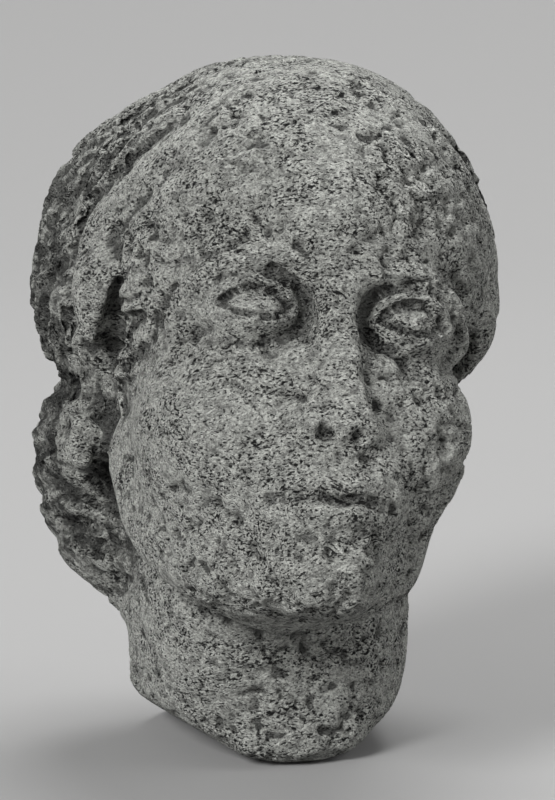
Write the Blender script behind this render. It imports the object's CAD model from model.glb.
"""A life-size carved stone head, broken off through the neck, carved and weathered over its solid."""

import math

import bmesh
import bpy
import numpy as np
from mathutils import Euler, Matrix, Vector


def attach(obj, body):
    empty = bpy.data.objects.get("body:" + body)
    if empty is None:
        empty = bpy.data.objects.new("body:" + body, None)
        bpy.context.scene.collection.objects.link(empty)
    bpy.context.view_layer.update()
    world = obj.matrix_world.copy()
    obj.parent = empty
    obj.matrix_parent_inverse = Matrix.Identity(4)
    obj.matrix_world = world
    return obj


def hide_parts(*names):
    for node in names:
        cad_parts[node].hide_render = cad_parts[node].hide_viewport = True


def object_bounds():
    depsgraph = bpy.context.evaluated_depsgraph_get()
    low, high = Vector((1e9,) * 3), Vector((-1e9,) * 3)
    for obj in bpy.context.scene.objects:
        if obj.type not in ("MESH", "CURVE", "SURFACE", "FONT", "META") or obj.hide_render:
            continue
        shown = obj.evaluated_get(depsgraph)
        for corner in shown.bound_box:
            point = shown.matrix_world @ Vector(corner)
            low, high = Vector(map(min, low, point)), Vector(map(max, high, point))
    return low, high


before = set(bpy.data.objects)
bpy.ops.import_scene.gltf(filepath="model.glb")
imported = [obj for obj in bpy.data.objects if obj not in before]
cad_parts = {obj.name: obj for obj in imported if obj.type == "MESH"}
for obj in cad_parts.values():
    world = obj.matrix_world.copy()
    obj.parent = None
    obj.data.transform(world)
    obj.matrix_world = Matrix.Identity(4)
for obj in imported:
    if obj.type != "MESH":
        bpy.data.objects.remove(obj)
cad_low, cad_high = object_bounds()

# The carving below is worked out in millimetres, and MM turns it into the scene's metres.
MM = 0.001
VOXEL = 1.25 * MM  # edge of the cells in which the block is roughed out
TRIANGLES = 190_000
STEP = 0.05  # distance over which a slope is measured
DRAW_ROUNDS, DRAW_REACH = 3, 2  # how often the mesh is drawn onto the carving, and how far at most


# Ways to join shapes, each shape given by the distance to its surface, below zero inside

def smooth_min(a, b, k):
    """Both shapes together, with the corner between them filled over a width of k."""
    h = np.maximum(k - np.abs(a - b), 0) / k
    return np.minimum(a, b) - h * h * k / 4


def smooth_max(a, b, k):
    """What two shapes have in common, with the corner between them rounded over a width of k."""
    return -smooth_min(-a, -b, k)


def ease(value, low, high):
    """From 0 to 1 as value goes from low to high, starting and ending gently."""
    t = np.clip((value - low) / (high - low), 0, 1)
    return t * t * (3 - 2 * t)


def oval(x, y, rx, ry):
    px, py = x / rx, y / ry
    k0 = np.sqrt(px * px + py * py)
    k1 = np.sqrt(px * px / rx**2 + py * py / ry**2)
    return k0 * (k0 - 1) / np.maximum(k1, 1e-9)


def ellipsoid(x, y, z, centre_and_radii):
    cx, cy, cz, rx, ry, rz = centre_and_radii
    px, py, pz = (x - cx) / rx, (y - cy) / ry, (z - cz) / rz
    k0 = np.sqrt(px * px + py * py + pz * pz)
    k1 = np.sqrt(px * px / rx**2 + py * py / ry**2 + pz * pz / rz**2)
    return k0 * (k0 - 1) / np.maximum(k1, 1e-9)


def taper(x, y, z, a, b):
    """Distance to a round cone between two points, each given as x, y, z, radius."""
    bx, by, bz = b[0] - a[0], b[1] - a[1], b[2] - a[2]
    ax, ay, az = x - a[0], y - a[1], z - a[2]
    t = np.clip((ax * bx + ay * by + az * bz) / (bx * bx + by * by + bz * bz), 0, 1)
    dx, dy, dz = ax - t * bx, ay - t * by, az - t * bz
    return np.sqrt(dx * dx + dy * dy + dz * dz) - a[3] - t * (b[3] - a[3])


def curve_point(points, at):
    """A point on a smooth curve through points, with at running from 0 to the number of spans."""
    span = min(int(at), len(points) - 2)
    before = points[span - 1] if span > 0 else 2 * points[0] - points[1]
    after = points[span + 2] if span + 2 < len(points) else 2 * points[-1] - points[-2]
    p0, p1, p2, p3 = before, points[span], points[span + 1], after
    d0, d1, d2 = (math.sqrt(np.linalg.norm(b - a)) for a, b in ((p0, p1), (p1, p2), (p2, p3)))
    m1 = ((p1 - p0) / d0 - (p2 - p0) / (d0 + d1) + (p2 - p1) / d1) * d1
    m2 = ((p2 - p1) / d1 - (p3 - p1) / (d1 + d2) + (p3 - p2) / d2) * d1
    t = at - span
    return p1 + t * (m1 + t * (3 * (p2 - p1) - 2 * m1 - m2 + t * (2 * (p1 - p2) + m1 + m2)))


def roll(points, steps):
    """A tapering roll along a smooth curve through x, y, z, radius points."""
    points = np.array(points, float)
    spans = len(points) - 1
    parts = []
    for i in range(steps + 1):
        at = min(spans - 1e-6, i / steps * spans)
        radius = np.interp(at, range(spans + 1), points[:, 3])
        parts.append((*curve_point(points[:, :3], at), radius))
    return np.array(parts)


FAR = 25


def roll_distance(x, y, z, parts):
    low, high = parts[:, :3].min(0), parts[:, :3].max(0)
    middle = (low + high) / 2
    around = np.linalg.norm(high - low) / 2 + parts[:, 3].max()
    nearest = np.sqrt((x - middle[0])**2 + (y - middle[1])**2 + (z - middle[2])**2) - around
    close = nearest < FAR
    px, py, pz = x[close], y[close], z[close]
    found = np.full(len(px), np.inf)
    for a, b in zip(parts, parts[1:]):
        found = np.minimum(found, taper(px, py, pz, a, b))
    nearest[close] = found
    return nearest


# The head. Its frame has x to its left, y to its back and z to its crown,
# and starts from the middle of the eye line.

THIRD = 60
SKULL_WIDTH, SKULL_DEPTH, SKULL_CROWN = 156, 196, 115
FACE_WIDTH = 136
EYE_SPACING, EYE_WIDTH, EYE_RISE, EYE_DROP = 63, 31, 8, 5.6
EYE_BALL, EYE_FRONT, LID, LID_BAND = 19, -86, 3.4, 5
NOSE_WIDTH, MOUTH_WIDTH = 35, 50
NECK_HALF_WIDTH, NECK_HALF_DEPTH, NECK_TAPER = 57, 58, 0.06
HAIR_SIDE, HAIR_BACK, HAIR_CROWN, HAIR_LEAN = 91, 118, 128, 0.06
LEAN, TILT = math.radians(21), math.radians(8)
HEAD_AT = np.array([-2.5, -20, 161])

BROW_Z = 5
NOSE_BASE_Z = BROW_Z - THIRD
CHIN_Z = NOSE_BASE_Z - THIRD
MOUTH_Z = NOSE_BASE_Z - THIRD / 3

CRANIUM = (0, 8, SKULL_CROWN - 83, SKULL_WIDTH / 2, SKULL_DEPTH / 2, 83)
FOREHEAD = (0, -40, 34, 60, 52, 50)
FACE = (0, -32, -36, FACE_WIDTH / 2 - 4, 59, 80)
CHEEK = (FACE_WIDTH / 2 - 31, -52, -40, 28, 30, 30)
MUZZLE = (0, -76, -68, 30, 17, 24)
CHIN = (0, -74, CHIN_Z + 17, 21, 16, 17)
JAW = roll([(52, 4, -45, 14), (46, -8, -74, 14), (30, -42, -93, 14), (8, -70, -100, 13)], 8)
SOCKET = (EYE_SPACING / 2 - 2, -92, -1, 24, 17, 13)
BROW = roll([
    (8, -85.5, 6, 5), (20, -86.5, 11, 5.5), (34, -83.5, 13.5, 5.5),
    (48, -74, 9, 5.5), (57, -61, -3, 5)], 12)


def bone_face(x, y, z):
    ax = np.abs(x)
    d = ellipsoid(x, y, z, CRANIUM)
    d = smooth_min(d, ellipsoid(x, y, z, FOREHEAD), 8)
    d = smooth_min(d, ellipsoid(x, y, z, FACE), 12)
    d = smooth_min(d, ellipsoid(ax, y, z, CHEEK), 14)
    d = smooth_min(d, roll_distance(ax, y, z, JAW), 14)
    d = smooth_min(d, ellipsoid(x, y, z, MUZZLE), 12)
    d = smooth_min(d, ellipsoid(x, y, z, CHIN), 10)
    d = smooth_min(d, roll_distance(ax, y, z, BROW), 9)
    return smooth_max(d, -ellipsoid(ax, y, z, SOCKET), 9)


def arch_radius(rise):
    return ((EYE_WIDTH / 2)**2 + rise**2) / (2 * rise)


UPPER_ARCH, LOWER_ARCH = arch_radius(EYE_RISE), arch_radius(EYE_DROP)
EYE_Z, BALL_INWARD = -2, 1.5
EYE_LINE = 1.2  # depth of the line cut inside the lids
LID_EDGE = 0.6  # half the width of the step from a lid down to the eyeball


def with_eyes(d, x, y, z):
    """An open eye: the ball shows in an almond between two raised lids."""
    dx, dz = np.abs(x) - EYE_SPACING / 2, z - EYE_Z
    ball = np.sqrt((dx + BALL_INWARD)**2 + (y - EYE_FRONT - EYE_BALL)**2 + dz * dz) - EYE_BALL
    up_z, down_z = dz - EYE_RISE + UPPER_ARCH, dz + EYE_DROP - LOWER_ARCH
    upper = np.sqrt(dx * dx + up_z * up_z) - UPPER_ARCH
    lower = np.sqrt(dx * dx + down_z * down_z) - LOWER_ARCH
    almond = np.maximum(upper, lower)
    edge = ease(almond, -LID_EDGE, LID_EDGE)
    fold = np.where(dz > 0, ease(almond, LID_BAND - 1, LID_BAND + 2.5), ease(almond, 1, 9))
    lidded = smooth_min(d, ball - LID * edge * (1 - 0.7 * fold), 2.5)
    lidded = lidded + EYE_LINE * (1 - ease(np.abs(almond + EYE_LINE), 0, 2 * EYE_LINE))
    return np.where(ball > 12, d, lidded)


NOSE_RIDGE = ((0, -82.5, 7, 7.5), (0, -93, NOSE_BASE_Z + 12, 12))
NOSE_WING = (NOSE_WIDTH / 2 - 7, -89, NOSE_BASE_Z + 8, 8, 10, 8)
NOSTRIL = (7, -101, NOSE_BASE_Z + 3, 3.6, 6, 3)
NOSE_BREAK, NOSE_BREAK_SLOPE = -93.5, 0.12


def with_nose(d, x, y, z):
    """The nose has lost its ridge and tip: a slanting break leaves a low stump."""
    ax = np.abs(x)
    nose = smooth_min(taper(x, y, z, *NOSE_RIDGE), ellipsoid(ax, y, z, NOSE_WING), 8)
    nose = smooth_max(nose, NOSE_BREAK - y + NOSE_BREAK_SLOPE * z, 4)
    return smooth_max(smooth_min(d, nose, 6), -ellipsoid(ax, y, z, NOSTRIL), 2)


UPPER_LIP = roll([
    (0, -90.5, MOUTH_Z + 3, 4.6), (7, -90.5, MOUTH_Z + 4, 4.8), (23, -80, MOUTH_Z + 0.8, 2.4)], 6)
LOWER_LIP = roll([
    (0, -89, MOUTH_Z - 5.8, 6), (9, -88, MOUTH_Z - 5.2, 5.6), (21, -80, MOUTH_Z - 2.4, 2.8)], 6)
LIP_LINE = roll([
    (0, -94.2, MOUTH_Z - 1.8, 2), (8, -93.2, MOUTH_Z + 0.6, 1.9), (17, -89.2, MOUTH_Z - 0.2, 1.9),
    (MOUTH_WIDTH / 2, -84.5, MOUTH_Z - 1.0, 2.2)], 12)
PHILTRUM = ((0, -99, NOSE_BASE_Z - 4, 2.4), (0, -98.5, MOUTH_Z + 8, 2.8))


def with_mouth(d, x, y, z):
    ax = np.abs(x)
    lips = smooth_min(roll_distance(ax, y, z, UPPER_LIP), roll_distance(ax, y, z, LOWER_LIP), 1.5)
    mouth = smooth_min(d, lips, 4)
    mouth = smooth_max(mouth, -taper(x, y, z, *PHILTRUM), 4)
    mouth = smooth_max(mouth, -roll_distance(ax, y, z, LIP_LINE), 2)
    return np.where((np.abs(z - MOUTH_Z) > 30) | (y > -60), d, mouth)


EAR = (72, 19, -34, 11, 9, 13)
EAR_RIM = roll([(76, 27, -22, 4.5), (78, 27, -31, 5), (76, 21, -43, 5.5), (74, 13, -46, 5)], 10)
EAR_HOLLOW = (84, 17, -32, 6, 6, 7)


def with_ears(d, x, y, z):
    """The lower half of each ear shows below the front roll: a rim and a lobe round a hollow."""
    ax = np.abs(x)
    rimmed = smooth_min(ellipsoid(ax, y, z, EAR), roll_distance(ax, y, z, EAR_RIM), 4)
    return smooth_max(smooth_min(d, rimmed, 6), -ellipsoid(ax, y, z, EAR_HOLLOW), 3)


# Hair: parted in the middle and combed in locks over the tops of the ears to a low knot

CAP = (0, 14, HAIR_CROWN - 90, HAIR_SIDE - 3, HAIR_BACK - 14, 90)
SIDE_MASS = (58, 32, 32, 32, 56, 38)
CROWN_MASS = (35, 34, 66, 48, 58, 46)
RIGHT_MASS = (-56, 30, 58, 34, 52, 40)
HAIRLINE_Z, HAIRLINE_HALF_WIDTH, HAIRLINE_HALF_HEIGHT, HAIRLINE_BACK = -25, 64, 93, -8
LOCKS_TOP, LOCKS_BOTTOM = np.array([-34, 106]), np.array([104, 14])
LOCKS_PER_TURN, LOCK_RELIEF, LOCK_CALM = 28, 5.5, 72
STRANDS_PER_LOCK, STRAND_RELIEF, SIDE_STRAND_RELIEF = 3, 1.5, 3.6
TRENCH_DEPTH, TRENCH_REACH = 8, 9
TEMPLE_ROLL = roll([
    (6, -60, 92, 5), (34, -58, 80, 8.5), (57, -42, 60, 12), (72, -16, 38, 15),
    (74, -16, 18, 14.5), (74, -10, 5, 9)], 30)
CHANNEL = roll([
    (72, -30, 16, 3), (71, -22, 3, 6), (69, -8, -11, 8), (69, 3, -28, 6), (68, 8, -45, 4)], 16)
KNOT = (6, 76, -46, 78, 40, 53)
KNOT_SHOULDER = (54, 62, -26, 28, 34, 32)
KNOT_LOCK_WIDTH, KNOT_LOCK_SLOPE, KNOT_LOCK_RELIEF = 13, 0.4, 3

lock_axis = (LOCKS_BOTTOM - LOCKS_TOP) / np.linalg.norm(LOCKS_BOTTOM - LOCKS_TOP)


def rounded(place):
    """The swell of a lock or strand over its width of one, with a groove at each whole number."""
    across = 2 * np.abs(place - np.floor(place) - 0.5)
    eased = across - 2 * np.maximum(0, across - 0.75)**2
    return 0.3 - eased * eased


def lock_relief(x, y, z):
    """The locks fan out round an axis from the parting to the knot, each with its strands."""
    back, up = y - LOCKS_TOP[0], z - LOCKS_TOP[1]
    along = back * lock_axis[0] + up * lock_axis[1]
    off = up * lock_axis[0] - back * lock_axis[1]
    turn = np.arctan2(np.abs(x), off) / (2 * math.pi) + 0.006 * np.sin(along / 11)
    turn += 0.0025 * np.sin(along / 3.7 + off / 6)
    calm = ease(np.sqrt(x * x + off * off) / LOCK_CALM, 0.2, 1) * ease(y, -54, -34)
    place = turn * LOCKS_PER_TURN
    strand = place * STRANDS_PER_LOCK + 0.35 * np.sin(along / 7 + 3 * np.floor(place))
    fine = np.interp(np.abs(x), (45, 75), (STRAND_RELIEF, SIDE_STRAND_RELIEF))
    worn = 0.8 + 0.3 * np.sin(along / 13 + 40 * turn)
    return (LOCK_RELIEF * rounded(place) * worn + fine * rounded(strand)) * calm


def hair(x, y, z, front):
    """The hair, with front the distance to its front roll."""
    ax = np.abs(x)
    d = smooth_min(ellipsoid(x, y, z, CAP), ellipsoid(ax, y, z, SIDE_MASS), 14)
    d = smooth_min(d, ellipsoid(ax, y, z, CROWN_MASS), 14)
    d = smooth_min(d, ellipsoid(x, y, z, RIGHT_MASS), 14)
    round_face = oval(x, z - HAIRLINE_Z, HAIRLINE_HALF_WIDTH, HAIRLINE_HALF_HEIGHT)
    opening = np.maximum(round_face, y - HAIRLINE_BACK)
    d = smooth_max(d, -opening, np.interp(ax, (10, 55), (22, 8)))
    clear = ease(front, 0, TRENCH_REACH)
    trench = TRENCH_DEPTH * (1 - clear) * ease(ax, 12, 50)
    d = d + trench - lock_relief(x, y, z) * clear
    d = smooth_min(d, front, np.interp(ax, (20, 60), (14, 4)))
    knot_place = (z - KNOT_LOCK_SLOPE * np.sqrt(ax * ax + 100)) / KNOT_LOCK_WIDTH
    knot_strand = knot_place * STRANDS_PER_LOCK + 0.3 * np.sin(x / 9)
    swell = KNOT_LOCK_RELIEF * rounded(knot_place) + STRAND_RELIEF * rounded(knot_strand)
    wound = smooth_min(ellipsoid(x, y, z, KNOT), ellipsoid(ax, y, z, KNOT_SHOULDER), 12)
    return smooth_min(d, wound - swell, 4)


def head(x, y, z):
    face = bone_face(x, y, z)
    face = with_eyes(face, x, y, z)
    face = with_nose(face, x, y, z)
    face = with_mouth(face, x, y, z)
    hair_x = x - HAIR_LEAN * z
    front = roll_distance(np.abs(hair_x), y, z, TEMPLE_ROLL)
    d = smooth_min(face, hair(hair_x, y, z, front), np.interp(z, (5, 50), (4, 18)))
    return with_ears(smooth_max(d, -roll_distance(np.abs(x), y, z, CHANNEL), 3), x, y, z)


# The neck and its break

THROAT = (-20, -26, 76, 40, 40, 62)
NECK_TOP = HEAD_AT[2] - 30
# Each chip is a flat face of the break: the way it faces, then how far it is from the underside's middle
CHIPS = (
    (-0.57, -0.1, -0.81, 14.5), (0.58, -0.1, -0.81, 16), (0.96, -0.1, -0.26, 47),
    (0, -0.6, -0.8, 33), (0, 0.7, -0.7, 42))


def neck(x, y, z):
    shrink = NECK_TAPER * z
    column = oval(x - shrink / 2, y, NECK_HALF_WIDTH + shrink / 2, NECK_HALF_DEPTH)
    column = smooth_max(column, z - NECK_TOP, 10)
    return smooth_min(column, ellipsoid(x, y, z, THROAT), 16)


def underside(x, y, z):
    d = -z
    for nx, ny, nz, reach in CHIPS:
        d = smooth_max(d, x * nx + y * ny + z * nz - reach, 8)
    return np.maximum(d, -z)


WEAR_DEPTH, WEAR_WAVE = 0.8, 24


def wear(x, y, z):
    u, v, w = x / WEAR_WAVE, y / WEAR_WAVE, z / WEAR_WAVE
    swell = np.sin(u + 1.7 * np.sin(w + 0.6)) + np.sin(v * 1.3 + 1.9 * np.sin(u * 0.8 + 2)) * np.cos(w)
    return WEAR_DEPTH * swell


head_turn = np.array(Euler((0, TILT, 0)).to_matrix() @ Euler((-LEAN, 0, 0)).to_matrix())


def into_head(points):
    return (points - HEAD_AT) @ head_turn


def stone(points):
    """Distance from each point to the carved surface, in millimetres, before the fine weathering."""
    x, y, z = points.T
    carved = smooth_min(head(*into_head(points).T), neck(x, y, z), 10)
    return smooth_max(carved + wear(x, y, z), underside(x, y, z), 5)


def slope(points, here):
    ahead = [stone(points + STEP * axis) for axis in np.eye(3)]
    rise = (np.array(ahead).T - here[:, None]) / STEP
    return rise / np.maximum(np.linalg.norm(rise, axis=1), 0.2)[:, None]**2


# Weathering, from numbers that follow only from a place and a seed

def scatter(cell, seed):
    """A number from 0 to 1 for each whole-numbered cell."""
    i = cell.astype(np.int64)
    n = (i[..., 0] * 73856093) ^ (i[..., 1] * 19349663)
    n = n ^ (i[..., 2] * 83492791) ^ (seed * 2654435761)
    n = (n ^ (n >> 13)) * 1274126177 & 0xFFFFFFFF
    return ((n ^ (n >> 16)) & 0xFFFFFF) / 0xFFFFFF


CORNERS = [np.array([i, j, k]) for i in (0, 1) for j in (0, 1) for k in (0, 1)]
NEIGHBOURS = [np.array([i, j, k]) for i in (-1, 0, 1) for j in (-1, 0, 1) for k in (-1, 0, 1)]
SMOOTH_SIDE = (-52, -62, 112, 22, 30, 58)  # a less worn stretch of the right cheek and neck
SHELTERED = (
    (EYE_SPACING / 2, -88, EYE_Z, 24, 22, 15),  # under each brow
    (0, -90, MOUTH_Z, 34, 22, 13))  # round the mouth
# Each kind of wear, by its size and its seed
ROUGH_PATCHES, DENTS, LUMPS, CRUMBS, HOLES = (48, 11), (24, 41), (10, 61), (4.6, 71), (15, 31)
GROWTH = (22, 91)  # the ragged edge of the grime, by its size and its seed


def clouds(points, size, seed):
    """Smooth noise from -1 to 1 with lumps of about the given size."""
    p = points / size
    cell = np.floor(p)
    t = p - cell
    t = t * t * t * (t * (6 * t - 15) + 10)
    total = 0
    for corner in CORNERS:
        share = np.prod(np.where(corner, t, 1 - t), axis=1)
        total = total + share * scatter(cell + corner, seed)
    return 2 * total - 1


def layered(points, size, seed, octaves=3):
    total, share = 0, 1
    for octave in range(octaves):
        total = total + share * clouds(points, size / 2**octave, seed + octave)
        share /= 2
    return total / (2 - 2 * share)


def pits(points, size, seed, fill):
    """Depth from 0 to 1 of round pits, one to a cell of the given size where fill allows it."""
    p = points / size
    cell = np.floor(p)
    deepest = np.zeros(len(p))
    for step in NEIGHBOURS:
        near = cell + step
        centre = near + 0.15 + 0.7 * np.stack([scatter(near, seed + i) for i in range(3)], 1)
        radius = 0.22 + 0.3 * scatter(near, seed + 3)
        apart = np.linalg.norm(p - centre, axis=1) / radius
        dug = np.maximum(0, 1 - apart * apart) * (scatter(near, seed + 4) < fill)
        deepest = np.maximum(deepest, dug * np.sqrt(radius / 0.52))
    return deepest


def weathering(points):
    """How far the weather has eaten in at each point, in millimetres."""
    sharp = points + 1.5 * np.stack([clouds(points, 4, 50 + i) for i in range(3)], 1)
    rough = ease(layered(points, *ROUGH_PATCHES), -0.5, 0.3)
    rough *= np.interp(ellipsoid(*points.T, SMOOTH_SIDE), (-12, 4), (0.35, 1))
    rough *= np.interp(points[:, 2], (60, 90), (0.4, 1))  # the neck is less worn
    x, y, z = into_head(points).T
    shelter = 1
    for place in SHELTERED:
        shelter = shelter * np.interp(ellipsoid(np.abs(x), y, z, place), (-5, 3), (0.3, 1))
    dents = 1.2 * ease(layered(points, *DENTS), 0.1, 0.7)
    lumps = (0.75 + 1.35 * rough) * ease(layered(sharp, *LUMPS), -0.1, 0.65)
    crumbs = (0.6 + 1.8 * rough) * ease(layered(sharp, *CRUMBS), 0.0, 0.5)
    holes = 1.7 * pits(sharp, *HOLES, fill=0.3) * ease(points[:, 2], 80, 60)
    return 0.2 + (dents + lumps + crumbs) * shelter + holes


# The piece

def roughed_out(node):
    """A dense even mesh of a solid, as a new object."""
    shape = bmesh.new()
    shape.from_mesh(node.data)
    bmesh.ops.remove_doubles(shape, verts=shape.verts, dist=1e-6)
    mesh = bpy.data.meshes.new("carved_head")
    shape.to_mesh(mesh)
    shape.free()
    piece = bpy.data.objects.new("carved_head", mesh)
    bpy.context.scene.collection.objects.link(piece)
    remesh = piece.modifiers.new("rough_out", "REMESH")
    remesh.mode = "VOXEL"
    remesh.voxel_size = VOXEL
    apply_modifiers(piece)
    return piece


def apply_modifiers(piece):
    live = piece.evaluated_get(bpy.context.evaluated_depsgraph_get())
    finished = bpy.data.meshes.new_from_object(live)
    piece.modifiers.clear()
    old = piece.data
    piece.data = finished
    bpy.data.meshes.remove(old)


def points_of(mesh):
    flat = np.empty(len(mesh.vertices) * 3)
    mesh.vertices.foreach_get("co", flat)
    return flat.reshape(-1, 3)


def carve(piece):
    """Draws the mesh onto the carved surface, then eats it away as the weather has."""
    points = points_of(piece.data) / MM
    for _ in range(DRAW_ROUNDS):
        here = stone(points)
        points = points - np.clip(here, -DRAW_REACH, DRAW_REACH)[:, None] * slope(points, here)
    here = stone(points)
    outward = slope(points, here)
    outward /= np.linalg.norm(outward, axis=1)[:, None]
    resting = ease(points[:, 2], 0, 4)
    points = points - (weathering(points) * resting)[:, None] * outward
    points = np.clip(points * MM, cad_low, cad_high)
    piece.data.vertices.foreach_set("co", points.ravel())
    piece.data.update()


def mark(mesh, name, values):
    layer = mesh.attributes.new(name, "FLOAT", "POINT")
    layer.data.foreach_set("value", values.astype(np.float32))


def thin(piece):
    piece.data.update()
    count = sum(len(p.vertices) - 2 for p in piece.data.polygons)
    decimate = piece.modifiers.new("thin", "DECIMATE")
    decimate.ratio = min(1, TRIANGLES / count)
    apply_modifiers(piece)


def grime(points):
    """Dark growth on the hair behind the front roll, from 0 to 1, with none on the ears."""
    x, y, z = into_head(points).T
    clear_of_ear = np.interp(ellipsoid(np.abs(x), y, z, EAR), (0, 5), (0, 1))
    behind = ease(y + 14 * layered(points, *GROWTH), -4, 16) * ease(points[:, 1], -32, -8)
    above_neck, below_crown = ease(points[:, 2], 60, 85), ease(points[:, 2], 262, 215)
    return behind * clear_of_ear * above_neck * below_crown


def dirt_share(points):
    """How much dirt a hollow gathers: less on the face than in the hair."""
    x, y, z = into_head(points).T
    return 1 - 0.6 * ease(y, -48, -62) * ease(z, 72, 56)


NOOK_ROUNDS, CREASE_ROUNDS = 6, 24  # the more rounds, the wider the hollows that are found


def hollow(mesh, rounds):
    """How far each corner lies below its smoothed surroundings, in millimetres."""
    ends = np.empty(len(mesh.edges) * 2, int)
    mesh.edges.foreach_get("vertices", ends)
    ends = ends.reshape(-1, 2)
    start = points_of(mesh)
    count = np.bincount(ends.ravel(), minlength=len(start))[:, None]
    smooth = start
    for _ in range(rounds):
        total = np.stack([
            np.bincount(ends[:, 0], smooth[ends[:, 1], i], len(start))
            + np.bincount(ends[:, 1], smooth[ends[:, 0], i], len(start)) for i in range(3)], 1)
        smooth = total / count
    normals = np.empty(len(start) * 3)
    mesh.vertex_normals.foreach_get("vector", normals)
    return np.sum((smooth - start) * normals.reshape(-1, 3), axis=1) / MM


stone_head = roughed_out(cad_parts["stone_head"])
carve(stone_head)
thin(stone_head)
corners = points_of(stone_head.data) / MM
gathered = dirt_share(corners)
mark(stone_head.data, "nook", hollow(stone_head.data, NOOK_ROUNDS) * gathered)
mark(stone_head.data, "crease", hollow(stone_head.data, CREASE_ROUNDS) * gathered)
mark(stone_head.data, "grime", grime(corners))
for face in stone_head.data.polygons:
    face.use_smooth = True
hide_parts("stone_head")
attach(stone_head, "root")


# Materials

def node_group(name, inputs, outputs):
    """An empty shader group with named sockets. Each input is a name, a kind and a value."""
    group = bpy.data.node_groups.new(name, "ShaderNodeTree")
    for label, kind, value in inputs:
        socket = group.interface.new_socket(label, in_out="INPUT", socket_type=kind)
        if value is not None:
            socket.default_value = value
    for label, kind in outputs:
        group.interface.new_socket(label, in_out="OUTPUT", socket_type=kind)
    return group, group.nodes.new("NodeGroupInput"), group.nodes.new("NodeGroupOutput")


def join(tree, out_socket, in_socket):
    tree.links.new(out_socket, in_socket)


def math_node(tree, operation, a, b=None):
    node = tree.nodes.new("ShaderNodeMath")
    node.operation = operation
    for socket, value in zip(node.inputs, (a, b)):
        if value is None:
            continue
        if isinstance(value, bpy.types.NodeSocket):
            tree.links.new(value, socket)
        else:
            socket.default_value = value
    return node.outputs[0]


def remap(tree, value, low, high, to_low=0, to_high=1):
    node = tree.nodes.new("ShaderNodeMapRange")
    node.interpolation_type = "SMOOTHSTEP"
    tree.links.new(value, node.inputs["Value"])
    limits = {"From Min": low, "From Max": high, "To Min": to_low, "To Max": to_high}
    for label, number in limits.items():
        node.inputs[label].default_value = number
    return node.outputs["Result"]


def noise(tree, vector, scale, detail=3.0, roughness=0.55):
    node = tree.nodes.new("ShaderNodeTexNoise")
    tree.links.new(vector, node.inputs["Vector"])
    if isinstance(scale, bpy.types.NodeSocket):
        tree.links.new(scale, node.inputs["Scale"])
    else:
        node.inputs["Scale"].default_value = scale
    node.inputs["Detail"].default_value = detail
    node.inputs["Roughness"].default_value = roughness
    return node.outputs["Fac"]


def slanted(tree, vector):
    """Stretches a texture along the bed of the stone, which slants up to the head's left."""
    mapping = tree.nodes.new("ShaderNodeMapping")
    join(tree, vector, mapping.inputs["Vector"])
    mapping.inputs["Rotation"].default_value = (0, math.radians(28), math.radians(15))
    mapping.inputs["Scale"].default_value = (0.6, 1, 1)
    return mapping.outputs["Vector"]


def speckle_group():
    """Crystalline speckle of two sizes: light flecks and dark flecks."""
    group, into, out = node_group(
        "stone_speckle",
        [("Vector", "NodeSocketVector", None), ("Scale", "NodeSocketFloat", 900.0)],
        [("Fleck", "NodeSocketFloat"), ("Height", "NodeSocketFloat")])
    fine = noise(group, into.outputs["Vector"], into.outputs["Scale"], 2.0, 0.7)
    half = math_node(group, "MULTIPLY", into.outputs["Scale"], 0.5)
    coarse = noise(group, into.outputs["Vector"], half, 3.0, 0.65)
    both = math_node(group, "MULTIPLY", math_node(group, "ADD", fine, coarse), 0.5)
    join(group, remap(group, both, 0.38, 0.62), out.inputs["Fleck"])
    join(group, both, out.inputs["Height"])
    return group


def pit_group():
    """Small ragged pits. The mask is one in each, and Cover sets how much of the stone they take."""
    group, into, out = node_group(
        "stone_pits",
        [
            ("Vector", "NodeSocketVector", None), ("Scale", "NodeSocketFloat", 350.0),
            ("Cover", "NodeSocketFloat", 0.4)],
        [("Pit", "NodeSocketFloat")])
    depth = noise(group, slanted(group, into.outputs["Vector"]), into.outputs["Scale"], 2.0, 0.5)
    short = math_node(group, "SUBTRACT", into.outputs["Cover"], depth)
    join(group, remap(group, short, 0.0, 0.1), out.inputs["Pit"])
    return group


def placed_group(tree, group, **values):
    node = tree.nodes.new("ShaderNodeGroup")
    node.node_tree = group
    for label, value in values.items():
        if isinstance(value, bpy.types.NodeSocket):
            tree.links.new(value, node.inputs[label])
        else:
            node.inputs[label].default_value = value
    return node


def mix_colour(tree, share, a, b, blend="MIX"):
    node = tree.nodes.new("ShaderNodeMix")
    node.data_type = "RGBA"
    node.blend_type = blend
    colour_inputs = [s for s in node.inputs if s.type == "RGBA"]
    factor = node.inputs[0]
    for socket, value in ((factor, share), (colour_inputs[0], a), (colour_inputs[1], b)):
        if isinstance(value, bpy.types.NodeSocket):
            tree.links.new(value, socket)
        else:
            socket.default_value = value
    return next(s for s in node.outputs if s.type == "RGBA")


def grey(value, warmth=0.0):
    return (value * (1 + warmth), value, value * (1 - 1.6 * warmth), 1)


def stone_tone(value):
    return (value, value * 1.015, value * 0.95, 1)


def attribute(tree, name):
    node = tree.nodes.new("ShaderNodeAttribute")
    node.attribute_name = name
    return node.outputs["Fac"]


FLECK_STONE, MID_STONE, DARK_STONE, PIT_STONE = (stone_tone(v) for v in (0.66, 0.31, 0.05, 0.008))
GRIME = grey(0.2)  # what thick grime leaves of the stone's tone
# How often each pattern repeats in a metre, about
FLECKS, FINE_PITS, OPEN_PITS, MOTTLING, STAINS, PIT_PATCHES = 1500.0, 1150.0, 560.0, 260.0, 90.0, 75.0
BUMP_DEPTH = 3.2 * MM


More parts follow.
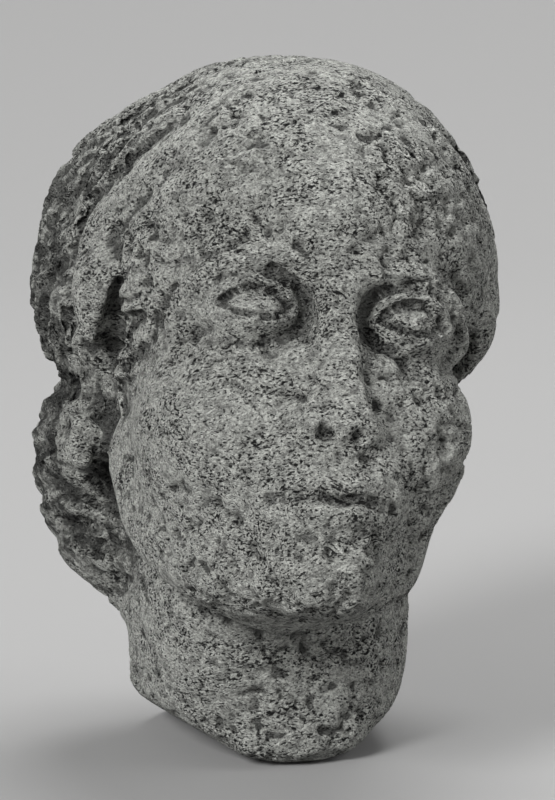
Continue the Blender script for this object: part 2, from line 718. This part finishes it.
def weathered_stone(speckle, pit):
    material = bpy.data.materials.new("weathered_stone")
    material.use_nodes = True
    tree = material.node_tree
    shader = tree.nodes["Principled BSDF"]
    shader.inputs["Roughness"].default_value = 0.92
    shader.inputs["Specular IOR Level"].default_value = 0.25
    place = tree.nodes.new("ShaderNodeTexCoord").outputs["Object"]
    bedded = slanted(tree, place)
    flecks = placed_group(tree, speckle, Vector=bedded, Scale=FLECKS)
    patches = noise(tree, bedded, PIT_PATCHES, 3.0)
    fine_cover = remap(tree, patches, 0.36, 0.64, 0.405, 0.49)
    open_cover = remap(tree, patches, 0.36, 0.64, 0.33, 0.43)
    fine = placed_group(tree, pit, Vector=place, Scale=FINE_PITS, Cover=fine_cover)
    open_pits = placed_group(tree, pit, Vector=place, Scale=OPEN_PITS, Cover=open_cover)
    tone = mix_colour(tree, flecks.outputs["Fleck"], MID_STONE, FLECK_STONE)
    nook = remap(tree, attribute(tree, "nook"), 0.05, 0.6, 0, 0.7)
    crease = remap(tree, attribute(tree, "crease"), 0.1, 1.8, 0, 0.85)
    sunk = math_node(tree, "MAXIMUM", nook, crease)
    stains = noise(tree, place, STAINS, 4.0, 0.65)
    patchy = remap(tree, stains, 0.4, 0.58, 0.1, 1)
    grown = math_node(tree, "MULTIPLY", attribute(tree, "grime"), patchy)
    grime = math_node(tree, "MAXIMUM", sunk, grown)
    mottling = noise(tree, bedded, MOTTLING, 6.0, 0.78)
    stained = math_node(tree, "ADD", mottling, math_node(tree, "MULTIPLY", grime, 0.09))
    tone = mix_colour(tree, remap(tree, stained, 0.44, 0.66, 0, 0.66), tone, DARK_STONE)
    shallow = math_node(tree, "MULTIPLY", fine.outputs["Pit"], 0.95)
    tone = mix_colour(tree, shallow, tone, PIT_STONE)
    tone = mix_colour(tree, open_pits.outputs["Pit"], tone, PIT_STONE)
    tone = mix_colour(tree, grime, tone, GRIME, "MULTIPLY")
    join(tree, tone, shader.inputs["Base Color"])
    lumps = math_node(tree, "MULTIPLY", math_node(tree, "ADD", mottling, stains), -2.6)
    grains = math_node(tree, "MULTIPLY", flecks.outputs["Height"], 0.7)
    height = math_node(tree, "ADD", lumps, grains)
    height = math_node(tree, "SUBTRACT", height, math_node(tree, "MULTIPLY", fine.outputs["Pit"], 0.7))
    height = math_node(tree, "SUBTRACT", height, open_pits.outputs["Pit"])
    bump = tree.nodes.new("ShaderNodeBump")
    bump.inputs["Strength"].default_value = 1.0
    bump.inputs["Distance"].default_value = BUMP_DEPTH
    join(tree, height, bump.inputs["Height"])
    join(tree, bump.outputs["Normal"], shader.inputs["Normal"])
    return material


stone_head.data.materials.clear()
stone_head.data.materials.append(weathered_stone(speckle_group(), pit_group()))


# The setting: a round pale floor that sweeps up into a wall, soft light from above, and the camera

FLOOR_RADIUS, COVE_RADIUS, WALL_HEIGHT = 1.6, 3.4, 4.4
COVE_STEPS, TURN_STEPS = 24, 96
PALE_PAINT = grey(0.232, 0.004)


def cove():
    """The floor and its wall, from one outline turned round the middle."""
    shape = bmesh.new()
    outline = [(0.0, 0.0), (FLOOR_RADIUS, 0.0)]
    for i in range(1, COVE_STEPS + 1):
        turn = math.radians(90 * i / COVE_STEPS)
        out, up = COVE_RADIUS * math.sin(turn), COVE_RADIUS * (1 - math.cos(turn))
        outline.append((FLOOR_RADIUS + out, up))
    outline.append((FLOOR_RADIUS + COVE_RADIUS, WALL_HEIGHT))
    corners = [shape.verts.new((r, 0, h)) for r, h in outline]
    edges = [shape.edges.new(pair) for pair in zip(corners, corners[1:])]
    bmesh.ops.spin(
        shape, geom=corners + edges, cent=(0, 0, 0), axis=(0, 0, 1),
        angle=2 * math.pi, steps=TURN_STEPS, use_merge=True)
    bmesh.ops.remove_doubles(shape, verts=shape.verts, dist=1e-5)
    bmesh.ops.recalc_face_normals(shape, faces=shape.faces)
    mesh = bpy.data.meshes.new("studio_floor")
    shape.to_mesh(mesh)
    shape.free()
    for face in mesh.polygons:
        face.use_smooth = True
    floor = bpy.data.objects.new("studio_floor", mesh)
    bpy.context.scene.collection.objects.link(floor)
    paint = bpy.data.materials.new("pale_paint")
    paint.use_nodes = True
    shader = paint.node_tree.nodes["Principled BSDF"]
    shader.inputs["Base Color"].default_value = PALE_PAINT
    shader.inputs["Roughness"].default_value = 0.95
    mesh.materials.append(paint)
    return floor


cove()


def soft_light(name, place, size, power, aim=(0, 0, 0.15)):
    light = bpy.data.lights.new(name, "AREA")
    light.shape = "DISK"
    light.size = size
    light.energy = power
    holder = bpy.data.objects.new(name, light)
    bpy.context.scene.collection.objects.link(holder)
    holder.location = place
    holder.rotation_euler = (Vector(aim) - Vector(place)).to_track_quat("-Z", "Y").to_euler()


soft_light("key_light", (-3.3, -2.5, 2.6), 1.7, 335)
soft_light("fill_light", (2.9, -1.0, 1.8), 2.2, 44)
soft_light("back_light", (0.9, 1.5, 3.8), 2.6, 190)

world = bpy.data.worlds.new("studio_world")
bpy.context.scene.world = world
world.use_nodes = True
background = world.node_tree.nodes["Background"]
background.inputs["Color"].default_value = grey(1.0)
background.inputs["Strength"].default_value = 0.46
bpy.context.scene.view_settings.view_transform = "Standard"

# The photograph is taken to be 800 pixels high, at PIXEL metres a pixel where the head stands
PHOTO_HEIGHT, PIXEL = 800, 0.405 * MM
CAMERA_AZIMUTH, CAMERA_HEIGHT_ANGLE, CAMERA_DISTANCE = math.radians(-15), math.radians(9), 1.3
CAMERA_TARGET = Vector((-0.0005, -0.020, 0.144))


def photo_camera():
    lens = bpy.data.cameras.new("photo_camera")
    lens.lens = lens.sensor_width * CAMERA_DISTANCE / (PHOTO_HEIGHT * PIXEL)
    camera = bpy.data.objects.new("photo_camera", lens)
    bpy.context.scene.collection.objects.link(camera)
    level = math.cos(CAMERA_HEIGHT_ANGLE)
    across, along = math.sin(CAMERA_AZIMUTH) * level, -math.cos(CAMERA_AZIMUTH) * level
    back = Vector((across, along, math.sin(CAMERA_HEIGHT_ANGLE)))
    camera.location = CAMERA_TARGET + back * CAMERA_DISTANCE
    camera.rotation_euler = (-back).to_track_quat("-Z", "Y").to_euler()
    return camera


bpy.context.scene.camera = photo_camera()
